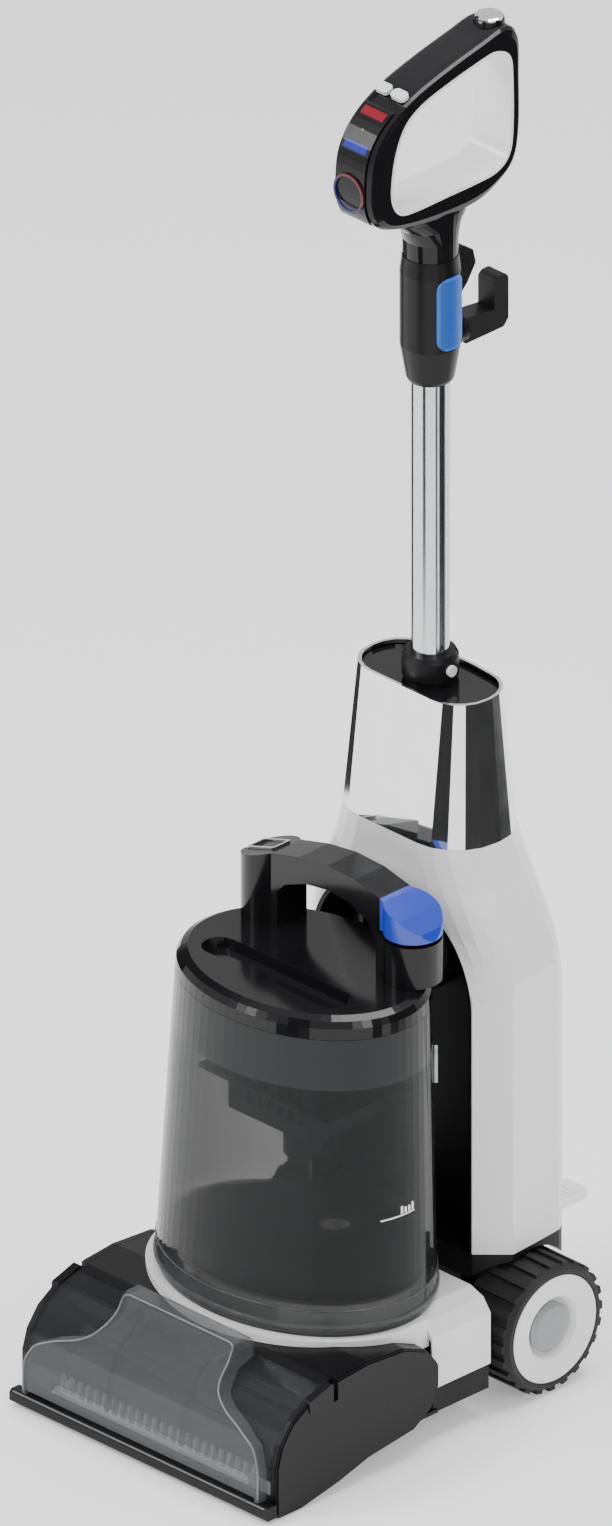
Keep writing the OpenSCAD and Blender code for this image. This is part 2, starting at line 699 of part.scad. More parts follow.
module pedal_pin() {
    color("#b0b3b7") x_rod(2.5, pedal_x0 - 6, pedal_x1 + 5, lip_y + pedal_y, pedal_z);
}
module cord_inlet() {
    color("#202022") difference() {
        union() {
            y_rod(8, lip_y + 352, lip_y + 364, -76, 136);
            y_rod(11, lip_y + 363.2, lip_y + 366, -76, 136);
            y_rod(7, lip_y + 365, lip_y + 374, -76, 136);
        }
        y_rod(4, lip_y + 340, lip_y + 380, -76, 136);
    }
}
module chrome_cover() {
    color("#d8dadd") loop_loft(wall_rings([seam_z + fit, (seam_z + cover_z) / 2, cover_z], 2.5));
}
socket_r = 20;
module cover_insert() {
    color("#1b1c1f") difference() {
        translate([0, lip_y, cover_z - 7]) linear_extrude(3) polygon(section(cover_z, 2.5 + fit + 0.2));
        translate([0, mast_y, cover_z - 20]) cylinder(h = 40, r = socket_r + fit, $fn = 64);
    }
}
module on_mast() {
    translate([0, mast_y, 0]) children();
}
module tube_socket() {
    color("#1e1e20") difference() {
        union() {
            on_mast() rotate_extrude($fn = 96) polygon([[tube_r + run, seam_z + fit], [30, seam_z + fit],
                [socket_r, seam_z + 14], [socket_r, cover_z - 2], [22, cover_z],
                [22, cover_z + 16], [20, cover_z + 20], [tube_r + run, cover_z + 20]]);
            translate([0, lip_y, seam_z + fit]) linear_extrude(3) polygon(section(seam_z, 3.4));
        }
        on_mast() translate([0, 0, seam_z - 1]) cylinder(h = 200, r = tube_r + run, $fn = 96);
        on_mast() x_rod(4.5 + run, 17.5, 40, 0, cover_z + 9);
        for (a = [0, 90, 180]) on_mast() rotate([0, 0, a + 45]) translate([19, -2, cover_z + 12]) cube([10, 4, 10]);
    }
}
module tube_button() {
    color("#dfe1e3") on_mast() x_rod(4.5, 19.5, 24.5, 0, cover_z + 9);
}

// ---- Mast and handle ----
collar_z0 = 822;
collar_z1 = 930;
hook_z = 854;
module mast_tube() {
    color("#c7cacd") on_mast() translate([0, 0, seam_z + 25]) difference() {
        cylinder(h = collar_z1 - 6 - seam_z - 25, r = tube_r, $fn = 96);
        translate([0, 0, -1]) cylinder(h = 600, r = tube_r - 1.5, $fn = 96);
    }
}
module collar() {
    color("#202023") difference() {
        union() {
            on_mast() rotate_extrude($fn = 96) polygon([[tube_r + run, collar_z0], [17.5, collar_z0],
                [19, collar_z0 + 3], [collar_r - 1, collar_z0 + 25], [collar_r, collar_z0 + 31],
                [collar_r, collar_z1 - 14], [22, collar_z1], [tube_r + run, collar_z1]]);
            y_rod(12, mast_y + 16, mast_y + 26, 0, hook_z);
            side_prism(-4, 4) rounded_outline(3)
                polygon([[332, 886], [332, 922], [346, 925], [356, 918], [359, 906], [350, 892], [342, 884]]);
        }
        on_mast() translate([0, 0, 700]) cylinder(h = 300, r = tube_r + run, $fn = 96);
        y_rod(4 + run, mast_y + 17.5, mast_y + 40, 0, hook_z);
    }
}
module cord_hook() {
    root = mast_y - lip_y + 26 + fit;
    color("#1a1a1c") {
        y_rod(4, mast_y + 18, mast_y + 27, 0, hook_z);
        y_rod(12, lip_y + root, lip_y + root + 5, 0, hook_z);
        side_prism(-9, 9) rounded_outline(3) polygon([[root + 1, hook_z - 11], [root + 1, hook_z + 11],
            [374, hook_z + 7], [374, hook_z + 31], [378, hook_z + 34], [386, hook_z + 34], [389, hook_z + 30],
            [389, hook_z - 5], [384, hook_z - 11]]);
    }
}
module collar_label() {
    color("#3a6abf") intersection() {
        on_mast() rotate([0, 0, -50]) rotate_extrude(angle = 100, $fn = 96)
            translate([collar_r + fit, collar_z0]) square([1, 120]);
        translate([0, mast_y - 13, collar_z0 + 33]) rotate([90, 0, 90]) linear_extrude(60)
            rounded_outline(9) square([26, 62]);
    }
}
loop_out = [[345, 966], [370, 976], [386, 990], [392, 1018], [392, 1062], [391, 1096], [378, 1107], [352, 1102],
    [312, 1093], [276, 1082], [248, 1066], [233, 1046], [229, 1022], [231, 998], [244, 981], [270, 972], [306, 966]];
loop_in = [[345, 985], [366, 987], [379, 997], [383, 1018], [383, 1060], [380, 1082], [366, 1091], [349, 1090],
    [314, 1083], [285, 1075], [267, 1063], [257, 1043], [252.5, 1020], [253, 1001], [262, 988], [280, 985],
    [312, 985]];
loop_section = [[0, -1], [0, 1], [0.6, 1], [0.85, 0.93], [0.97, 0.8], [1, 0.5], [1, -0.5], [0.97, -0.8],
    [0.85, -0.93], [0.6, -1]];
module loop_body() {
    out = smooth(loop_out, 4);
    inn = smooth(loop_in, 4);
    n = len(out);
    m = len(loop_section);
    h = loop_w / 2;
    pts = [for (i = [0:n - 1], s = loop_section) let (p = inn[i] + (out[i] - inn[i]) * s[0])
        [s[1] * h, lip_y + p[0], p[1]]];
    faces = [for (i = [0:n - 1], j = [0:m - 1]) let (a = i * m + j, b = i * m + (j + 1) % m,
        c = ((i + 1) % n) * m + j, d = ((i + 1) % n) * m + (j + 1) % m) each [[a, c, b], [b, c, d]]];
    polyhedron(points = pts, faces = faces, convexity = 8);
}
grip_y = 377;
keys_y = 273;
keys_z = 1082.5;
keys_tilt = 20;
module at_keys() {
    translate([0, lip_y + keys_y, keys_z]) rotate([keys_tilt, 0, 0]) children();
}
module handle_shell() {
    color("#1a1a1c") difference() {
        union() {
            loop_body();
            loft([oval(21.5, 21.5, 314, collar_z1 + fit, 36), oval(21.5, 22, 314, 945, 36),
                oval(20.5, 27, 314, 956, 36), oval(19.5, 38, 314, 966, 36), oval(18.5, 46, 312, 974, 36)]);
            translate([0, lip_y + grip_y, 1094]) cylinder(h = top_z - 3 - fit - 1094, r1 = 14, r2 = 12, $fn = 64);
        }
        for (x = [-8.5, 8.5]) at_keys() translate([x, 0, -2.5]) linear_extrude(20)
            rounded_outline(4) square([15.2, 10.2], center = true);
    }
}
module handle_liner() {
    color("#f4f4f4") side_prism(-loop_w / 2 - 0.4, loop_w / 2 + 0.4) difference() {
        offset(delta = -run) polygon(smooth(loop_in, 4));
        offset(delta = -2.6) polygon(smooth(loop_in, 4));
    }
}
module handle_cap() {
    color("#d4d6d9") translate([0, lip_y + grip_y, top_z - 3]) {
        cylinder(h = 2, r = 11, $fn = 64);
        translate([0, 0, 2]) cylinder(h = 1, r1 = 11, r2 = 9.5, $fn = 64);
    }
}
module control_panel() {
    color("#0e0e10") side_prism(-15.5, 15.5) intersection() {
        difference() {
            offset(delta = 1.6) polygon(smooth(loop_out, 4));
            offset(delta = fit) polygon(smooth(loop_out, 4));
        }
        translate([200, 988]) square([62, 87]);
    }
}
module light_ring() {
    color("#4050c8") difference() {
        y_rod(16, lip_y + 225.6, lip_y + 227, 0, 1013);
        y_rod(14, lip_y + 220, lip_y + 230, 0, 1013);
    }
}
module key(x) {
    color("#e4e6e6") at_keys() translate([x, 0, -1]) linear_extrude(3.4)
        rounded_outline(4) square([14.6, 9.6], center = true);
}
module power_button() {
    key(-8.5);
}
module mode_button() {
    key(8.5);
}

side_panel_left();
side_panel_right();
nozzle_top();
nozzle_window();
suction_duct();
front_lip();
comb_strip();
spray_bar();
brush_core();
brush_bristles();
brush_pulley();
brush_motor();
motor_pulley();
drive_belt();
pump();
latch_left();
latch_right();
base_pan();
deck();
axle();
tyre_left();
tyre_right();
wheel_disc_left();
wheel_disc_right();
hub_cap_left();
hub_cap_right();
tank_shell();
tank_lid();
filter_box();
float_cup();
tank_handle();
release_button();
handle_trim();
tank_clip();
body_shell();
arch_lining();
body_foot();
chrome_cover();
cover_insert();
tube_socket();
tube_button();
suction_motor();
fan_wheel();
air_duct();
clean_tank();
clean_tank_cap();
pedal();
pedal_pin();
mast_tube();
collar();
cord_hook();
collar_label();
handle_shell();
handle_liner();
handle_cap();
control_panel();
light_ring();
power_button();
mode_button();
cord_inlet();
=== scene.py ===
"""Looks of an upright carpet cleaner: finishes for every moulding and a few trim pieces, on a fixed frame."""
import math

import bpy
import numpy as np
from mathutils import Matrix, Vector


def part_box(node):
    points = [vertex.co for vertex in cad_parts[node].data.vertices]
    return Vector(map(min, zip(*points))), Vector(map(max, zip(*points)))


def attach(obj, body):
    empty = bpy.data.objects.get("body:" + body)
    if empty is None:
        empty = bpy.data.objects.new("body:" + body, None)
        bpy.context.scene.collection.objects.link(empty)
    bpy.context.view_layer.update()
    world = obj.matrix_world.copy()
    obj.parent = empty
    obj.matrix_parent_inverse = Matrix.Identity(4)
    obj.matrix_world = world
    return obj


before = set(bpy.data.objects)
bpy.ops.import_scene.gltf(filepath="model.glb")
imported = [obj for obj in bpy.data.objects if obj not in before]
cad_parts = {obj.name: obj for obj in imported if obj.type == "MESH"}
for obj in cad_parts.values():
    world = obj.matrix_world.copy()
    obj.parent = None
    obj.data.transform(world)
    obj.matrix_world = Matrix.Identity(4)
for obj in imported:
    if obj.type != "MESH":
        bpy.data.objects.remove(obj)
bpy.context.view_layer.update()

bl_info = {
    "name": "Carpet cleaner looks",
    "version": (1, 0, 0),
    "blender": (4, 5, 0),
    "location": "View3D > Sidebar > Cleaner",
    "description": "Finishes and trim for an upright carpet cleaner",
    "category": "Object",
}

# The tank's oval wall
TANK_HALF_DEPTH = 0.094
TANK_TAPER = 0.010
TANK_MIDDLE_Y = -0.030
TANK_LEAN = 0.008
# Where the tank's tint changes: above its foot, and at the foot of the lid's skirt
FOOT_TINT = (0.118, 0.130)
SKIRT_TINT = (0.3085, 0.3105)
EDGE_DENSITY = 0.92
SKIRT_DENSITY = 0.94
# The level marks, with their places round the tank in radians
LEVEL_Z = 0.197
TICK_Z = 0.1990
TICK_HEIGHTS = (0.006, 0.0045, 0.0045, 0.006)
LEVEL_FIRST = -0.27
LEVEL_LENGTH = 0.36
TICK_STEP = 0.042
TICK_WIDTH = 0.026
MARK_LIFT = 0.0004
# How far a band's or a rib's foot lies inside the piece that carries it
BAND_SUNK = 0.0004
RIB_SUNK = 0.0009
RIB_RADIUS = 0.0011
RIB_RINGS = {"inner": 0.0462, "outer": 0.0478}
# The beads on the head: lighter grey strips that are painted highlights on its edges
BEAD_STEPS = 161
BEAD_RADIUS = 0.0007
INTO_HEAD = (0.0, 0.62, -0.78)
# Half the duct's bell outline, as distance from the middle and height
DUCT_HALF_OUTLINE = (
    (0.127, 0.0150),
    (0.127, 0.042),
    (0.119, 0.057),
    (0.1005, 0.066),
    (0.0815, 0.072),
    (0.0685, 0.079),
    (0.0615, 0.088),
    (0.0595, 0.098),
    (0.0595, 0.1100),
)
# The duct's curved face, as depth behind its front and height
DUCT_FACE = (
    (0.0025, 0.0143),
    (0.003, 0.044),
    (0.008, 0.064),
    (0.021, 0.083),
    (0.038, 0.097),
    (0.043, 0.108),
    (0.046, 0.111),
)
# The lit marks on the control panel, as half width, half height and middle height
RED_BAR = (0.0120, 0.0022, 1.0718)
BLUE_BAR = (0.0122, 0.0030, 1.0505)
LIT_DOT = (0.0007, 0.0007, 1.0620)
# The stage
FLOOR_Z = -0.0004
CARD_RADIUS = 1.1
CARD_HEADINGS = ((0, 20), (82, 94), (104, 150), (-106, -80))
CARD_HEIGHTS = (0.0, 1.0, 2.2)
CARD_STEPS = 25
CAMERA_TURN = 45.3
CAMERA_LIFT = 27.9
CAMERA_WIDTH = 1.163
CAMERA_TARGET = (0.0, -0.0193, 0.5387)
CAMERA_DISTANCE = 4


class Value:
    """A socket that takes part in Python sums, each of which adds one Math node."""

    def __init__(self, paint, socket):
        self.paint, self.socket = paint, socket

    def sum(self, operation, *others):
        sockets = [o.socket if isinstance(o, Value) else o for o in others]
        return self.paint.add("ShaderNodeMath", {"operation": operation}, *sockets)

    def __add__(self, other):
        return self.sum("ADD", self, other)

    __radd__ = __add__

    def __mul__(self, other):
        return self.sum("MULTIPLY", self, other)

    __rmul__ = __mul__

    def __sub__(self, other):
        return self.sum("SUBTRACT", self, other)

    def __rsub__(self, other):
        return self.sum("SUBTRACT", other, self)

    def __abs__(self):
        return self.sum("ABSOLUTE", self)

    def larger(self, other):
        return self.sum("MAXIMUM", self, other)

    def rise(self, low, high):
        """0 below low and 1 above high, with a soft step between."""
        soft = {"interpolation_type": "SMOOTHSTEP"}
        return self.paint.add("ShaderNodeMapRange", soft, self.socket, low, high, 0.0, 1.0)


class Paint:
    """One material and the nodes that colour it."""

    def __init__(self, name):
        self.material = bpy.data.materials.new(name)
        self.material.use_nodes = True
        self.nodes, self.links = self.material.node_tree.nodes, self.material.node_tree.links
        self.shader = next(n for n in self.nodes if n.type == "BSDF_PRINCIPLED")
        place = self.nodes.new("ShaderNodeTexCoord")
        self.place = place.outputs["Object"]
        split = self.nodes.new("ShaderNodeSeparateXYZ")
        self.links.new(self.place, split.inputs[0])
        self.x, self.y, self.z = (Value(self, split.outputs[i]) for i in range(3))

    def feed(self, socket, value):
        value = value.socket if isinstance(value, Value) else value
        if isinstance(value, bpy.types.NodeSocket):
            self.links.new(value, socket)
        else:
            socket.default_value = value

    def add(self, kind, settings, *values, out=0, **named):
        node = self.nodes.new(kind)
        for key, value in settings.items():
            setattr(node, key, value)
        for socket, value in zip(node.inputs, values):
            if value is not None:
                self.feed(socket, value)
        for key, value in named.items():
            self.feed(node.inputs[key], value)
        return Value(self, node.outputs[out])

    def noise(self, scale, stretch=(1, 1, 1), detail=2.0):
        """Cloudy values about 0.5, stretched along an axis by a small factor there."""
        at = self.add("ShaderNodeMapping", {}, self.place, Scale=stretch)
        return self.add("ShaderNodeTexNoise", {}, Vector=at, Scale=scale, Detail=detail)

    def blend(self, mask, low, high):
        node = self.nodes.new("ShaderNodeMix")
        node.data_type = "RGBA"
        self.feed(node.inputs[0], mask)
        self.feed(node.inputs[6], low if not isinstance(low, tuple) else (*low, 1))
        self.feed(node.inputs[7], high if not isinstance(high, tuple) else (*high, 1))
        return Value(self, node.outputs[2])

    def set(self, **values):
        for key, value in values.items():
            socket = self.shader.inputs[key.replace("_", " ")]
            self.feed(socket, (*value, 1) if isinstance(value, tuple) else value)
        return self

    def bump(self, height, depth):
        self.set(Normal=self.add("ShaderNodeBump", {}, Strength=1.0, Distance=depth, Height=height))
        return self

    def on(self, *names):
        for name in names:
            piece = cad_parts[name]
            if not piece.material_slots:
                piece.data.materials.append(self.material)
            for place in piece.material_slots:
                place.material = self.material
        return self


def shade(colour, factor):
    return tuple(min(1.0, c * factor) for c in colour)


def moulding(name, colour, roughness, grain, depth, coat, spread=0.06, shine=0.5):
    """Moulded plastic: faint clouding of the colour, uneven gloss from handling, and a fine raised grain."""
    paint = Paint(name)
    cloud, rub, fine = paint.noise(14), paint.noise(38, detail=4.0), paint.noise(grain, detail=1.0)
    paint.set(
        Base_Color=paint.blend(cloud, shade(colour, 1 - spread), shade(colour, 1 + spread)),
        Roughness=roughness * 0.75 + rub * roughness * 0.5,
        Coat_Weight=coat,
        Coat_Roughness=0.04,
        Specular_IOR_Level=shine,
    )
    return paint.bump(fine, depth)


def metal(name, colour, roughness, stretch, grain):
    """Polished metal with hair-fine polishing lines along one axis."""
    paint = Paint(name)
    lines = paint.noise(grain, stretch, 3.0)
    paint.set(
        Base_Color=paint.blend(lines, shade(colour, 0.93), shade(colour, 1.05)),
        Metallic=1.0,
        Roughness=roughness * 0.7 + lines * roughness * 0.6,
    )
    return paint.bump(lines, 0.00001)


def clear(name, colour, face, edge, roughness):
    """Tinted clear plastic: thin where seen square on, denser towards its edges, with faint flow marks."""
    paint = Paint(name)
    rim = paint.add("ShaderNodeLayerWeight", {}, Blend=0.35, out=1)
    flow = paint.noise(9, detail=1.0)
    paint.rim = rim
    paint.set(
        Base_Color=paint.blend(flow, shade(colour, 1.1), shade(colour, 1.45)),
        Roughness=roughness,
        Coat_Weight=0.1,
        Coat_Roughness=0.02,
        Specular_IOR_Level=0.3,
        Alpha=face + rim * (edge - face),
    )
    return paint.bump(flow, 0.00005)


def sheet_of(name, points, paint, body, closed=(False, False)):
    """A mesh from a grid of points, rows by columns.

    Neighbouring points make one quad, and a closed direction joins its ends.
    """
    rows, columns = points.shape[:2]
    number = np.arange(rows * columns).reshape(rows, columns)
    down = np.roll(number, -1, 0) if closed[0] else number[1:]
    up = number if closed[0] else number[:-1]
    if closed[1]:
        quads = np.stack([up, np.roll(up, -1, 1), np.roll(down, -1, 1), down], -1)
    else:
        quads = np.stack([up[:, :-1], up[:, 1:], down[:, 1:], down[:, :-1]], -1)
    mesh = bpy.data.meshes.new(name)
    mesh.from_pydata(points.reshape(-1, 3).tolist(), [], quads.reshape(-1, 4).tolist())
    mesh.shade_smooth()
    mesh.materials.append(paint.material)
    piece = bpy.data.objects.new(name, mesh)
    bpy.context.scene.collection.objects.link(piece)
    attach(piece, body)
    return piece


def tank_wall(angle, height, lift):
    """A point on the tank's outer wall, which is an oval.

    Its half width and half depth both shrink by the taper towards the top.
    Its middle moves back by the lean.
    """
    low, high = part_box("tank_shell")
    up = (height - low.z) / (high.z - low.z)
    wide = high.x - TANK_TAPER * up + lift
    deep = TANK_HALF_DEPTH - TANK_TAPER * up + lift
    middle = TANK_MIDDLE_Y + TANK_LEAN * up
    return np.stack(np.broadcast_arrays(wide * np.cos(angle), middle + deep * np.sin(angle), height), -1)


def tank_band(name, low, high, lift, paint, slot, first=0.0, last=2 * math.pi):
    """A raised band on the tank wall: out from the wall, up its face and back, carried round the oval."""
    whole = last - first >= 2 * math.pi
    steps = 145 if whole else 41
    angle = np.linspace(first, last, steps)[:, None]
    if whole:
        angle = angle[:-1]
    height = np.array([[low, low, low + lift * 0.5, high - lift * 0.5, high, high]])
    out = np.array([[-BAND_SUNK, lift * 0.6, lift, lift, lift * 0.6, -BAND_SUNK]])
    return sheet_of(name, tank_wall(angle, height, out), paint, "tank", (whole, False))


def bead(name, path, radius, paint, body):
    """A round bead carried along a path.

    At each place a circle stands square to the path, and both ends shrink almost to a point.
    """
    path = np.asarray(path, float)
    along = np.concatenate([[0], np.cumsum(np.linalg.norm(np.diff(path, axis=0), axis=1))])
    place = np.linspace(0, along[-1], BEAD_STEPS)
    line = np.stack([np.interp(place, along, path[:, k]) for k in range(3)], 1)
    soft = line.copy()
    soft[2:-2] = (line[:-4] + line[1:-3] + line[2:-2] + line[3:-1] + line[4:]) / 5
    ahead = np.gradient(soft, axis=0)
    ahead /= np.linalg.norm(ahead, axis=1)[:, None]
    side = np.cross(ahead, INTO_HEAD)
    side /= np.linalg.norm(side, axis=1)[:, None]
    up = np.cross(side, ahead)
    turn = np.linspace(0, 2 * math.pi, 9)[:-1]
    size = np.full(BEAD_STEPS, radius)
    size[[0, -1]] = radius * 0.02
    ring = side[:, None] * np.cos(turn)[None, :, None] + up[:, None] * np.sin(turn)[None, :, None]
    points = soft[:, None] + ring * size[:, None, None]
    return sheet_of(name, points, paint, body, (False, True))


def ring_round_wheel(name, side, radius, paint):
    """A rib on a tyre's side: a half circle of profile carried round the wheel's axis."""
    low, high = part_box("tyre_" + side)
    middle, sign = (low + high) / 2, (1 if side == "right" else -1)
    face = high.x if sign > 0 else low.x
    turn = np.linspace(0, 2 * math.pi, 97)[:-1, None]
    across = np.linspace(0, math.pi, 7)[None, :]
    r = radius + RIB_RADIUS * np.cos(across) * sign
    x = face - sign * RIB_SUNK + sign * RIB_RADIUS * np.sin(across) + 0 * turn
    points = np.stack([x, middle.y + r * np.cos(turn), middle.z + r * np.sin(turn)], -1)
    return sheet_of(name, points, paint, "wheel_" + side, (True, False))


class CleanerFinish(bpy.types.PropertyGroup):
    """Colours of the mouldings."""

    white: bpy.props.FloatVectorProperty(
        name="White moulding",
        description="Colour of the body, deck and wheels",
        subtype="COLOR",
        size=3,
        default=(0.80, 0.80, 0.79),
    )
    black: bpy.props.FloatVectorProperty(
        name="Black moulding",
        description="Colour of the head and handle",
        subtype="COLOR",
        size=3,
        default=(0.006, 0.006, 0.007),
    )
    accent: bpy.props.FloatVectorProperty(
        name="Blue buttons",
        description="Colour of the release button and filler cap",
        subtype="COLOR",
        size=3,
        default=(0.016, 0.045, 0.42),
    )
    smoke: bpy.props.FloatProperty(
        name="Smoke",
        description="How dark the dirty-water tank is",
        subtype="FACTOR",
        min=0.05,
        max=0.9,
        default=0.42,
    )


class CleanerSizes(bpy.types.PropertyGroup):
    """Sizes of the trim."""

    rim: bpy.props.FloatProperty(
        name="Rim",
        description="Height of the rim round the tank's foot",
        unit="LENGTH",
        default=0.0040,
    )
    mark: bpy.props.FloatProperty(
        name="Level mark",
        description="Thickness of the water level line",
        unit="LENGTH",
        default=0.0012,
    )
    room: bpy.props.FloatProperty(
        name="Floor",
        description="Half width of the floor",
        unit="LENGTH",
        default=9.0,
    )


class WhiteMouldings(bpy.types.Operator):
    """Gives the white pieces, the silver keys, the pedal and the bristles their plastics"""

    bl_idname = "cleaner.white_mouldings"
    bl_label = "White mouldings"

    def execute(self, context):
        white = tuple(context.scene.cleaner_finish.white)
        gloss = moulding("white_gloss_plastic", white, 0.22, 1400, 0.00001, 0.35, 0.012)
        gloss.on("body_shell", "deck", "wheel_disc_left", "wheel_disc_right", "handle_liner")
        satin = moulding("white_satin_plastic", shade(white, 0.97), 0.42, 1100, 0.00003, 0.0, 0.02)
        satin.on("comb_strip", "tube_button", "fan_wheel")
        keys = moulding("silver_keys", (0.62, 0.66, 0.64), 0.2, 1200, 0.00002, 0.5, 0.03)
        keys.on("power_button", "mode_button")
        nylon = Paint("nylon_bristle")
        strands = nylon.noise(600, (3.0, 1.0, 1.0), 2.0)
        nylon.set(Base_Color=nylon.blend(strands, (0.02, 0.02, 0.021), (0.06, 0.06, 0.062)), Roughness=0.6)
        nylon.bump(strands, 0.0004).on("brush_bristles")
        step = clear("pedal_plastic", (0.75, 0.77, 0.78), 0.55, 0.95, 0.25)
        step.on("pedal")
        return {"FINISHED"}


class BlackMouldings(bpy.types.Operator):
    """Gives the head, handle, lid and linings their black plastics"""

    bl_idname = "cleaner.black_mouldings"
    bl_label = "Black mouldings"

    def execute(self, context):
        black = tuple(context.scene.cleaner_finish.black)
        gloss = moulding("black_gloss_plastic", black, 0.12, 1500, 0.00001, 0.0, shine=0.32)
        gloss.on("tank_lid", "tank_handle", "cover_insert", "handle_shell")
        cheek = moulding("black_cheek_plastic", shade(black, 1.1), 0.3, 1300, 0.00003, 0.0, shine=0.2)
        cheek.on("side_panel_left", "side_panel_right", "nozzle_top", "collar", "latch_left", "latch_right")
        satin = moulding("black_satin_plastic", shade(black, 1.1), 0.42, 900, 0.00005, 0.0, shine=0.2)
        satin.on("front_lip", "base_pan", "arch_lining", "body_foot")
        satin.on("tube_socket", "cord_hook", "cord_inlet", "air_duct")
        grey = moulding("grey_plastic", (0.025, 0.026, 0.028), 0.4, 900, 0.00005, 0.0, shine=0.3)
        grey.on("spray_bar", "pump", "filter_box", "float_cup", "brush_pulley", "brush_core", "motor_pulley")
        hub = moulding("hub_grey_plastic", (0.26, 0.27, 0.28), 0.3, 900, 0.00004, 0.3)
        hub.on("hub_cap_left", "hub_cap_right")
        return {"FINISHED"}


class ClearPieces(bpy.types.Operator):
    """Gives the tanks, window, duct and clip their clear plastics"""

    bl_idname = "cleaner.clear_pieces"
    bl_label = "Clear pieces"

    def execute(self, context):
        smoke = context.scene.cleaner_finish.smoke
        tank = clear("smoked_tank_plastic", (0.010, 0.011, 0.012), smoke, EDGE_DENSITY, 0.05)
        foot = 1 - tank.z.rise(*FOOT_TINT)
        band = tank.z.rise(*SKIRT_TINT)
        wall = smoke + tank.rim * (EDGE_DENSITY - smoke)
        tank.set(Alpha=wall.larger(band * SKIRT_DENSITY), Specular_IOR_Level=0.22)
        tank.set(Base_Color=tank.blend(foot, (0.015, 0.016, 0.017), (0.030, 0.032, 0.034)))
        tank.on("tank_shell")
        clear("window_plastic", (0.030, 0.031, 0.033), 0.20, 0.85, 0.04).on("nozzle_window")
        clear("duct_plastic", (0.10, 0.105, 0.11), 0.13, 0.9, 0.06).on("suction_duct")
        clear("clip_plastic", (0.55, 0.58, 0.60), 0.35, 0.95, 0.05).on("tank_clip")
        clear("clean_water_tank_plastic", (0.16, 0.18, 0.20), 0.45, 0.95, 0.08).on("clean_tank")
        return {"FINISHED"}


class Metals(bpy.types.Operator):
    """Gives the cover, tube, caps, axle and motors their metal"""

    bl_idname = "cleaner.metals"
    bl_label = "Metals"

    def execute(self, context):
        chrome = metal("chrome_plate", (0.86, 0.87, 0.88), 0.05, (1, 1, 1), 60)
        chrome.on("chrome_cover", "handle_cap", "handle_trim")
        metal("steel_tube", (0.60, 0.61, 0.63), 0.13, (1, 1, 0.02), 900).on("mast_tube")
        metal("steel_rod", (0.55, 0.56, 0.58), 0.22, (0.02, 1, 1), 900).on("axle", "pedal_pin")
        metal("zinc_case", (0.35, 0.36, 0.38), 0.4, (0.1, 1, 1), 500).on("brush_motor", "suction_motor")
        return {"FINISHED"}


class RubberAndColour(bpy.types.Operator):
    """Gives the tyres and belt their rubber, and the release button, filler cap and label their blues"""

    bl_idname = "cleaner.rubber_and_colour"
    bl_label = "Rubber and colour"

    def execute(self, context):
        blue = tuple(context.scene.cleaner_finish.accent)
        rubber = moulding("tyre_rubber", (0.012, 0.012, 0.012), 0.72, 700, 0.00012, 0.0, 0.2)
        rubber.on("tyre_left", "tyre_right", "drive_belt")
        moulding("blue_plastic", blue, 0.2, 1300, 0.00002, 0.4).on("release_button", "clean_tank_cap")
        label = moulding("label_film", (0.008, 0.075, 0.36), 0.35, 1100, 0.00001, 0.0, 0.02, 0.3)
        low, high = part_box("collar_label")
        middle, half = (low + high) / 2, (high - low) / 2
        # Painted highlight: a lighter blue band round the label's edge stands for light caught on its rounded
        # rim
        edge = (abs(label.z - middle.z) - half.z).larger(abs(label.y - middle.y) - half.y)
        rim_painted_highlight = edge.rise(-0.0026, -0.0018)
        label.set(Base_Color=label.blend(rim_painted_highlight, (0.008, 0.080, 0.38), (0.015, 0.13, 0.52)))
        label.on("collar_label")
        return {"FINISHED"}


class LitParts(bpy.types.Operator):
    """Gives the control panel its two plain lit bars and dot, and the ring its two colours"""

    bl_idname = "cleaner.lit_parts"
    bl_label = "Lit parts"

    def execute(self, context):
        panel = moulding("panel_plastic", (0.006, 0.006, 0.007), 0.24, 1500, 0.000005, 0.0, shine=0.25)

        def bar(width, height, middle):
            reach = (abs(panel.x) - width).larger(abs(panel.z - middle) - height)
            return 1 - reach.rise(-0.0006, 0.0004)

        red = bar(*RED_BAR)
        blue = bar(*BLUE_BAR)
        dot = bar(*LIT_DOT)
        glow = panel.blend(red, panel.blend(blue, (0, 0, 0), (0.015, 0.03, 0.50)), (0.42, 0.008, 0.03))
        panel.set(Emission_Color=panel.blend(dot, glow, (0.5, 0.5, 0.5)), Emission_Strength=1.0)
        panel.on("control_panel")
        ring = Paint("ring_light")
        low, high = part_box("light_ring")
        middle = (low + high) / 2
        side = ((ring.x - middle.x) * 0.8 + (ring.z - middle.z)).rise(-0.010, 0.012)
        tint = ring.blend(side, (0.03, 0.04, 0.60), (0.50, 0.02, 0.05))
        ring.set(
            Base_Color=ring.blend(side, (0.004, 0.006, 0.05), (0.05, 0.003, 0.006)),
            Emission_Color=tint,
            Emission_Strength=0.12,
            Roughness=0.3,
        )
        ring.on("light_ring")
        return {"FINISHED"}


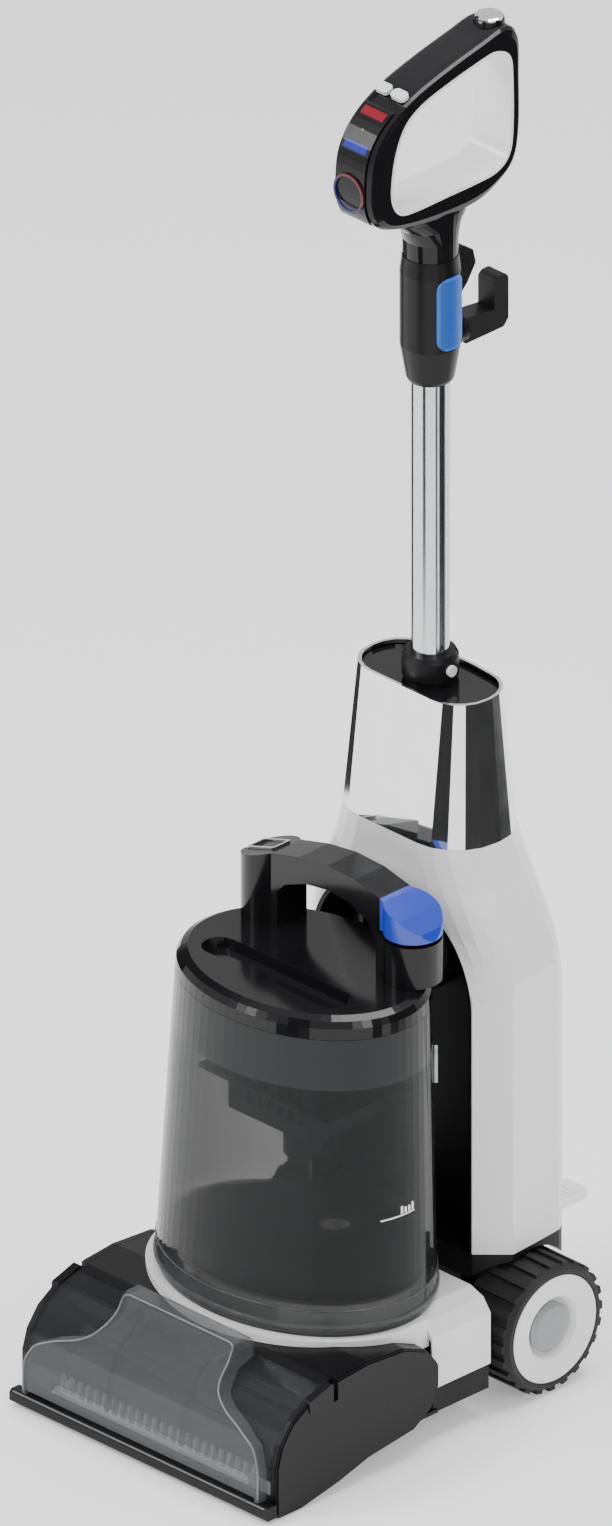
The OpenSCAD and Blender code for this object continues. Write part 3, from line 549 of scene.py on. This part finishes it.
class TankTrim(bpy.types.Operator):
    """Adds the rims round the tank's foot and the plain level marks on its side"""

    bl_idname = "cleaner.tank_trim"
    bl_label = "Tank trim"

    def execute(self, context):
        sizes = context.scene.cleaner_sizes
        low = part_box("tank_shell")[0]
        rim = clear("rim_plastic", (0.07, 0.073, 0.076), 0.45, 0.95, 0.05)
        tank_band("tank_rim_foot", low.z + 0.006, low.z + 0.006 + sizes.rim, 0.0016, rim, "smoked_tank")
        tank_band("tank_rim_floor", low.z + 0.021, low.z + 0.0225, 0.0008, rim, "smoked_tank")
        ink = moulding("white_ink", (0.85, 0.85, 0.85), 0.4, 900, 0.00001, 0.0, 0.02)
        line = (MARK_LIFT, ink, "white_satin", LEVEL_FIRST, LEVEL_FIRST + LEVEL_LENGTH)
        tank_band("level_line", LEVEL_Z, LEVEL_Z + sizes.mark, *line)
        for i, tall in enumerate(TICK_HEIGHTS):
            at = LEVEL_FIRST + LEVEL_LENGTH * 0.55 + i * TICK_STEP
            tick = (MARK_LIFT, ink, "white_satin", at, at + TICK_WIDTH)
            tank_band(f"level_tick_{i + 1}", TICK_Z, TICK_Z + tall, *tick)
        return {"FINISHED"}


class HeadBeads(bpy.types.Operator):
    """Adds lighter grey beads along the bell-shaped duct's outline and the front lip's top edge, as painted
    highlights on those edges
    """

    bl_idname = "cleaner.head_beads"
    bl_label = "Head beads"

    def execute(self, context):
        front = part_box("suction_duct")[0].y
        # Painted highlight: a lighter grey clear bead along the duct's outline stands for the light caught on
        # that edge
        edge = clear("duct_rim_painted_highlight", (0.24, 0.25, 0.26), 0.5, 0.9, 0.08)
        half = np.array(DUCT_HALF_OUTLINE)
        face = np.array(DUCT_FACE)
        outline = np.concatenate([half * (-1, 1), half[::-1]])
        runs = [np.linspace(a, b, 9)[:-1] for a, b in zip(outline[:-1], outline[1:])]
        dense = np.concatenate([*runs, outline[-1:]])
        depth = front - 0.0025 + np.interp(dense[:, 1], face[:, 1], face[:, 0])
        rim = np.stack([dense[:, 0], depth + 0.0005, dense[:, 1]], 1)
        bead("duct_edge_painted_highlight", rim, BEAD_RADIUS, edge, "nozzle_cover")
        low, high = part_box("front_lip")
        # Painted highlight: a grey bead on the black lip's top edge stands for the bright line of light along
        # it
        glint = moulding("lip_rim_painted_highlight", (0.14, 0.145, 0.15), 0.12, 1200, 0.00001, 0.3)
        reach = high.x - 0.002
        lip = [(x, low.y + 0.0013, high.z - 0.0012) for x in np.linspace(-reach, reach, 9)]
        bead("lip_edge_painted_highlight", lip, BEAD_RADIUS, glint, "head")
        return {"FINISHED"}


class TyreRibs(bpy.types.Operator):
    """Adds two moulded ribs to each tyre's outer side"""

    bl_idname = "cleaner.tyre_ribs"
    bl_label = "Tyre ribs"

    def execute(self, context):
        rubber = moulding("rib_rubber", (0.016, 0.016, 0.016), 0.6, 700, 0.0001, 0.0, 0.2)
        for side in ("left", "right"):
            for ring, radius in RIB_RINGS.items():
                ring_round_wheel(f"tyre_rib_{ring}_{side}", side, radius, rubber)
        return {"FINISHED"}


def lamp(name, at, towards, size, power):
    data = bpy.data.lights.new(name, "AREA")
    data.shape, data.size, data.energy = "DISK", size, power
    piece = bpy.data.objects.new(name, data)
    piece.location = at
    piece.rotation_euler = (Vector(towards) - Vector(at)).to_track_quat("-Z", "Y").to_euler()
    bpy.context.scene.collection.objects.link(piece)


def wall_cards(name, headings, radius, paint):
    """Upright strips of a round wall about the object, each between two headings.

    Only polished faces show them.
    """
    for i, (first, last) in enumerate(headings):
        turn = np.radians(np.linspace(first, last, CARD_STEPS))[:, None]
        height = np.array([CARD_HEIGHTS])
        points = np.stack(np.broadcast_arrays(radius * np.sin(turn), -radius * np.cos(turn), height), -1)
        mesh = bpy.data.meshes.new(f"{name}_{i}")
        number = np.arange(CARD_STEPS * len(CARD_HEIGHTS)).reshape(CARD_STEPS, len(CARD_HEIGHTS))
        quads = np.stack([number[:-1, :-1], number[:-1, 1:], number[1:, 1:], number[1:, :-1]], -1)
        mesh.from_pydata(points.reshape(-1, 3).tolist(), [], quads.reshape(-1, 4).tolist())
        mesh.materials.append(paint.material)
        card = bpy.data.objects.new(f"{name}_{i}", mesh)
        bpy.context.scene.collection.objects.link(card)
        card.visible_camera = card.visible_diffuse = False
        card.visible_shadow = card.visible_transmission = False


class Studio(bpy.types.Operator):
    """Adds the pale floor, soft light, dark cards and the camera"""

    bl_idname = "cleaner.studio"
    bl_label = "Studio"

    def execute(self, context):
        room = context.scene.cleaner_sizes.room
        pale = moulding("floor_paint", (0.93, 0.93, 0.93), 0.9, 60, 0.00001, 0.0, 0.004, shine=0.1)
        pale.set(Emission_Color=(1.0, 1.0, 1.0), Emission_Strength=0.3)
        mesh = bpy.data.meshes.new("floor")
        corners = [(x * room, y * room, FLOOR_Z) for x, y in ((-1, -1), (1, -1), (1, 1), (-1, 1))]
        mesh.from_pydata(corners, [], [(0, 1, 2, 3)])
        mesh.materials.append(pale.material)
        floor = bpy.data.objects.new("floor", mesh)
        context.scene.collection.objects.link(floor)
        dark = moulding("card_black", (0.01, 0.01, 0.01), 0.9, 60, 0.00001, 0.0)
        wall_cards("card", CARD_HEADINGS, CARD_RADIUS, dark)
        sky = bpy.data.worlds.new("studio_sky")
        sky.use_nodes = True
        sky.node_tree.nodes["Background"].inputs[0].default_value = (1, 1, 1, 1)
        sky.node_tree.nodes["Background"].inputs[1].default_value = 0.8
        context.scene.world = sky
        lamp("key", (-1.4, -2.2, 2.6), (0, 0, 0.4), 1.6, 85)
        lamp("side", (2.6, -0.6, 1.9), (0, 0, 0.5), 1.2, 20)
        lamp("top", (0.2, 0.8, 3.2), (0, 0, 0.4), 1.8, 70)
        data = bpy.data.cameras.new("camera")
        data.type, data.ortho_scale = "ORTHO", CAMERA_WIDTH
        data.clip_end = 50
        camera = bpy.data.objects.new("camera", data)
        turn, lift = math.radians(CAMERA_TURN), math.radians(CAMERA_LIFT)
        target = Vector(CAMERA_TARGET)
        ray = Vector((math.sin(turn) * math.cos(lift), -math.cos(turn) * math.cos(lift), math.sin(lift)))
        camera.location = target + CAMERA_DISTANCE * ray
        camera.rotation_euler = (-ray).to_track_quat("-Z", "Y").to_euler()
        context.scene.collection.objects.link(camera)
        context.scene.camera = camera
        return {"FINISHED"}


STEPS = (
    WhiteMouldings,
    BlackMouldings,
    ClearPieces,
    Metals,
    RubberAndColour,
    LitParts,
    TankTrim,
    HeadBeads,
    TyreRibs,
    Studio,
)


class CleanerPanel(bpy.types.Panel):
    """Lists the steps that dress the carpet cleaner"""

    bl_idname = "VIEW3D_PT_cleaner"
    bl_label = "Cleaner"
    bl_space_type = "VIEW_3D"
    bl_region_type = "UI"
    bl_category = "Cleaner"

    def draw(self, context):
        for group in (context.scene.cleaner_finish, context.scene.cleaner_sizes):
            for key in type(group).__annotations__:
                self.layout.prop(group, key)
        for step in STEPS:
            self.layout.operator(step.bl_idname)


CLASSES = (CleanerFinish, CleanerSizes, *STEPS, CleanerPanel)


def register():
    for kind in CLASSES:
        bpy.utils.register_class(kind)
    bpy.types.Scene.cleaner_finish = bpy.props.PointerProperty(type=CleanerFinish)
    bpy.types.Scene.cleaner_sizes = bpy.props.PointerProperty(type=CleanerSizes)


def unregister():
    del bpy.types.Scene.cleaner_finish
    del bpy.types.Scene.cleaner_sizes
    for kind in reversed(CLASSES):
        bpy.utils.unregister_class(kind)


def main():
    register()
    for step in STEPS:
        group, name = step.bl_idname.split(".")
        getattr(getattr(bpy.ops, group), name)()


if __name__ == "__main__":
    main()
